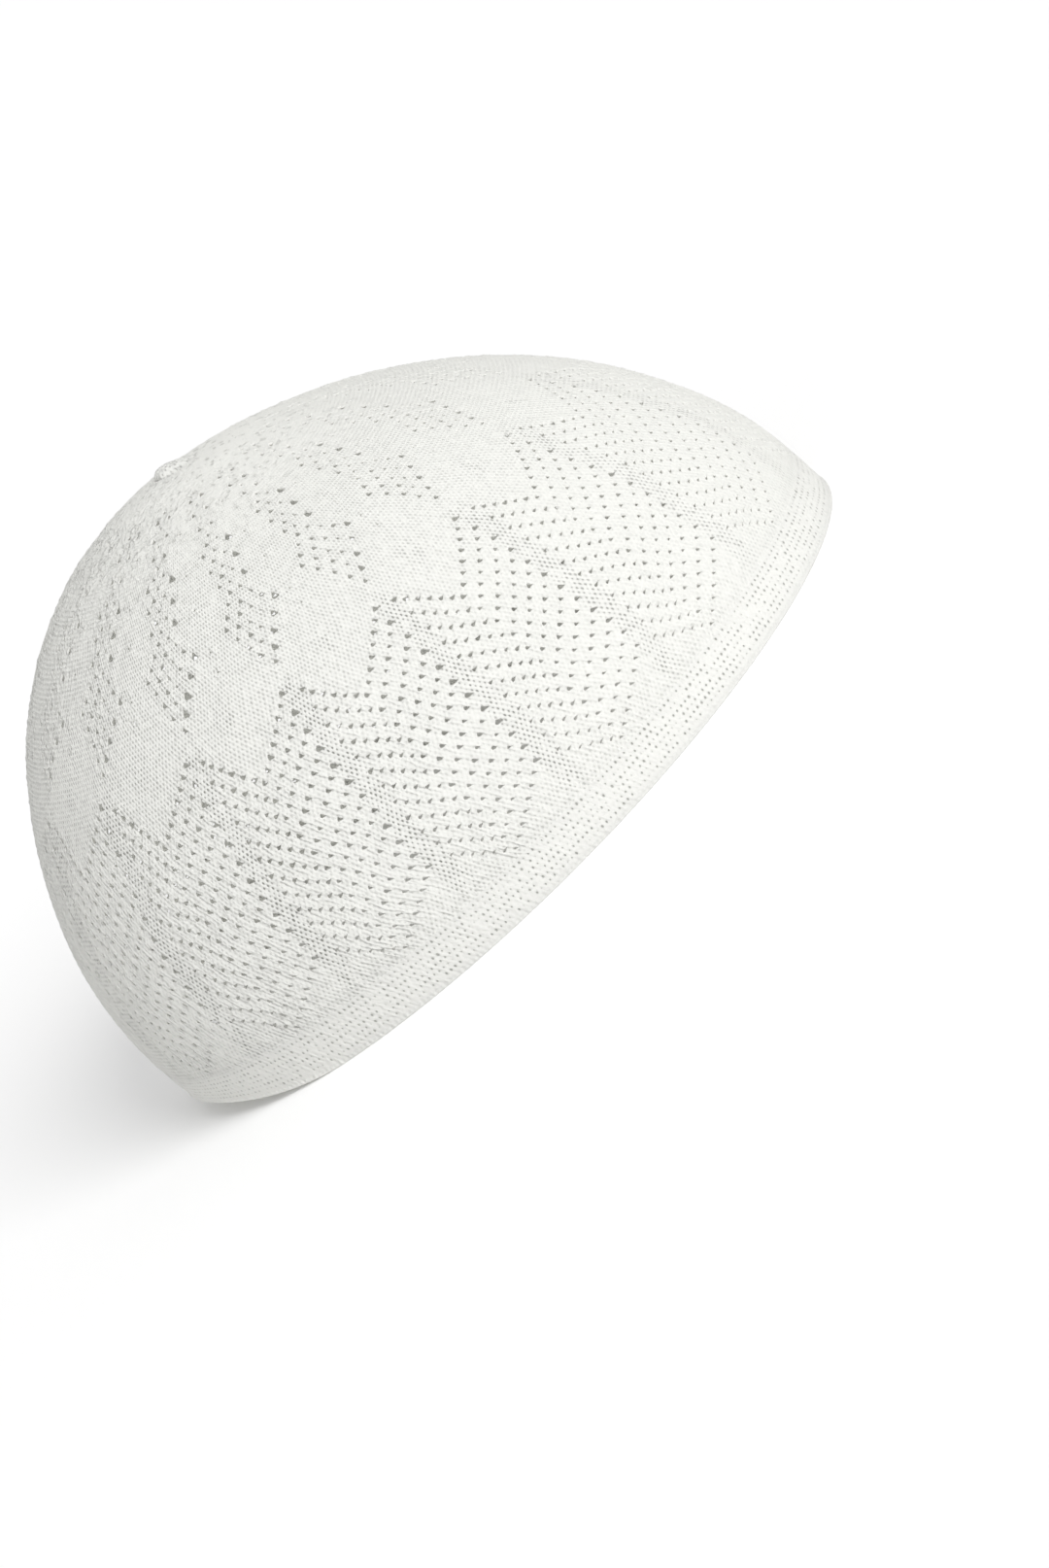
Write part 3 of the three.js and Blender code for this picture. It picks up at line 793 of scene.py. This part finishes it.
folds += 0.03 * np.sin(math.pi * ring_grid) * np.cos(31 * angle_grid + 4 * ring_grid)
knot_up = KNOT_HEIGHT * profile * slope + folds - KNOT_SUNK * ring_grid ** 4
knot_x = KNOT_LENGTH / 2 * ring_grid * np.cos(angle_grid) * (1 + 0.012 * np.cos(17 * angle_grid))
knot_y = KNOT_WIDTH / 2 * ring_grid * np.sin(angle_grid) * (1 + 0.012 * np.cos(17 * angle_grid))
knot_local = np.stack([knot_x, knot_y, knot_up], axis=-1).reshape(-1, 3)
crown_peak = np.array([[0.0, 0.0, KNOT_SHOULDER * KNOT_HEIGHT]])
foot = np.array([[0.0, 0.0, -KNOT_SUNK]])
knot_points = np.concatenate([knot_local, crown_peak, foot])
knot_faces = []
last = (knot_rings - 2) * knot_around
peak = len(knot_local)
for k in range(knot_around):
    m = (k + 1) % knot_around
    knot_faces.append((peak, k, m))
    knot_faces.append((peak + 1, last + m, last + k))
    for r in range(knot_rings - 2):
        a, b = r * knot_around + k, r * knot_around + m
        knot_faces.append((a, a + knot_around, b + knot_around))
        knot_faces.append((a, b + knot_around, b))
knot_faces = np.array(knot_faces)
zero = np.array([0.0])
lean = cloth_outward(zero, zero)[0] + cloth_outward(zero + math.pi, zero)[0]
knot_turn = Vector((0, 0, 1)).rotation_difference(Vector(lean)).to_matrix()
knot_points = knot_points @ np.array(knot_turn).T + cloth_point(zero, zero)[0]
knot_corners = knot_points[knot_faces]
knot_uv = np.stack([knot_corners[..., 0] / 32.5, 0.30 + knot_corners[..., 1] / CLOTH_LENGTH], axis=-1)
# Painted shade: the knot gets strong painted shade in its pinholes and between its strands, which darkens it
# all over.
closing_knot = mesh_piece("gathered_closing_knot", knot_points, knot_faces,
                          point_normals(knot_points, knot_faces), knot_uv, 0.7, 0.8,
                          lace_cotton)
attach(closing_knot, "root")
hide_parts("closing_knot")

# A plain pale floor, large enough that its edge is never in view.
floor_mesh = bpy.data.meshes.new("floor")
FLOOR_HALF = 6.0
floor_mesh.from_pydata([(-FLOOR_HALF, -FLOOR_HALF, 0), (FLOOR_HALF, -FLOOR_HALF, 0),
                        (FLOOR_HALF, FLOOR_HALF, 0), (-FLOOR_HALF, FLOOR_HALF, 0)], [], [(0, 1, 2, 3)])
floor = bpy.data.objects.new("floor", floor_mesh)
bpy.context.scene.collection.objects.link(floor)
paper = bpy.data.materials.new("white_paper")
paper.use_nodes = True
paper_shader = paper.node_tree.nodes["Principled BSDF"]
paper_shader.inputs["Base Color"].default_value = linear("#fefefe")
paper_shader.inputs["Roughness"].default_value = 0.9
floor_mesh.materials.append(paper)

# Soft studio light: an even white room, and one very large lamp high at the front right of the cap.
ROOM_LIGHT = 0.685
LAMP_LIGHT = 2.04
LAMP_ANGLE = math.radians(32)
world = bpy.data.worlds.new("white_room")
world.use_nodes = True
world.node_tree.nodes["Background"].inputs["Color"].default_value = (1, 1, 1, 1)
world.node_tree.nodes["Background"].inputs["Strength"].default_value = ROOM_LIGHT
bpy.context.scene.world = world
sun = bpy.data.lights.new("softbox", "SUN")
sun.energy = LAMP_LIGHT
sun.angle = LAMP_ANGLE
sun_object = bpy.data.objects.new("softbox", sun)
SUN_FROM = Vector((0.43, -0.71, 0.52))
sun_object.rotation_euler = SUN_FROM.to_track_quat("Z", "Y").to_euler()
bpy.context.scene.collection.objects.link(sun_object)

# The camera looks at the cap's right side from 1.3 m, a little above the rim, and is rolled so that the cap
# leans back as it does when worn. Pixel places are in the 1080 by 1614 frame.
DISTANCE = 1.3
PIXELS_PER_METRE = 4670.0
ELEVATION = math.radians(15.55)
ROLL = math.radians(-45.41)
ORIGIN_PIXEL = (523.7, 817.7)
ORIGIN_FORWARD = -0.0008
SENSOR = 36.0
FRAME_WIDTH, FRAME_HEIGHT = 1080, 1614
away = Vector((0, -math.cos(ELEVATION), math.sin(ELEVATION)))
level = Vector((1, 0, 0))
upward = away.cross(level)
right = math.cos(ROLL) * level + math.sin(ROLL) * upward
up = -math.sin(ROLL) * level + math.cos(ROLL) * upward
offset = (right * (ORIGIN_PIXEL[0] - FRAME_WIDTH / 2) - up * (ORIGIN_PIXEL[1] - FRAME_HEIGHT / 2))
camera_data = bpy.data.cameras.new("camera")
camera_data.sensor_width = SENSOR
camera_data.lens = PIXELS_PER_METRE * DISTANCE * SENSOR / FRAME_HEIGHT
camera = bpy.data.objects.new("camera", camera_data)
facing_cap = Matrix((right, up, away)).transposed()
camera.matrix_world = Matrix.Translation(
    away * DISTANCE - offset / PIXELS_PER_METRE + Vector((ORIGIN_FORWARD, 0, 0))) @ facing_cap.to_4x4()
bpy.context.scene.collection.objects.link(camera)
bpy.context.scene.camera = camera
bpy.context.scene.view_settings.view_transform = "Standard"
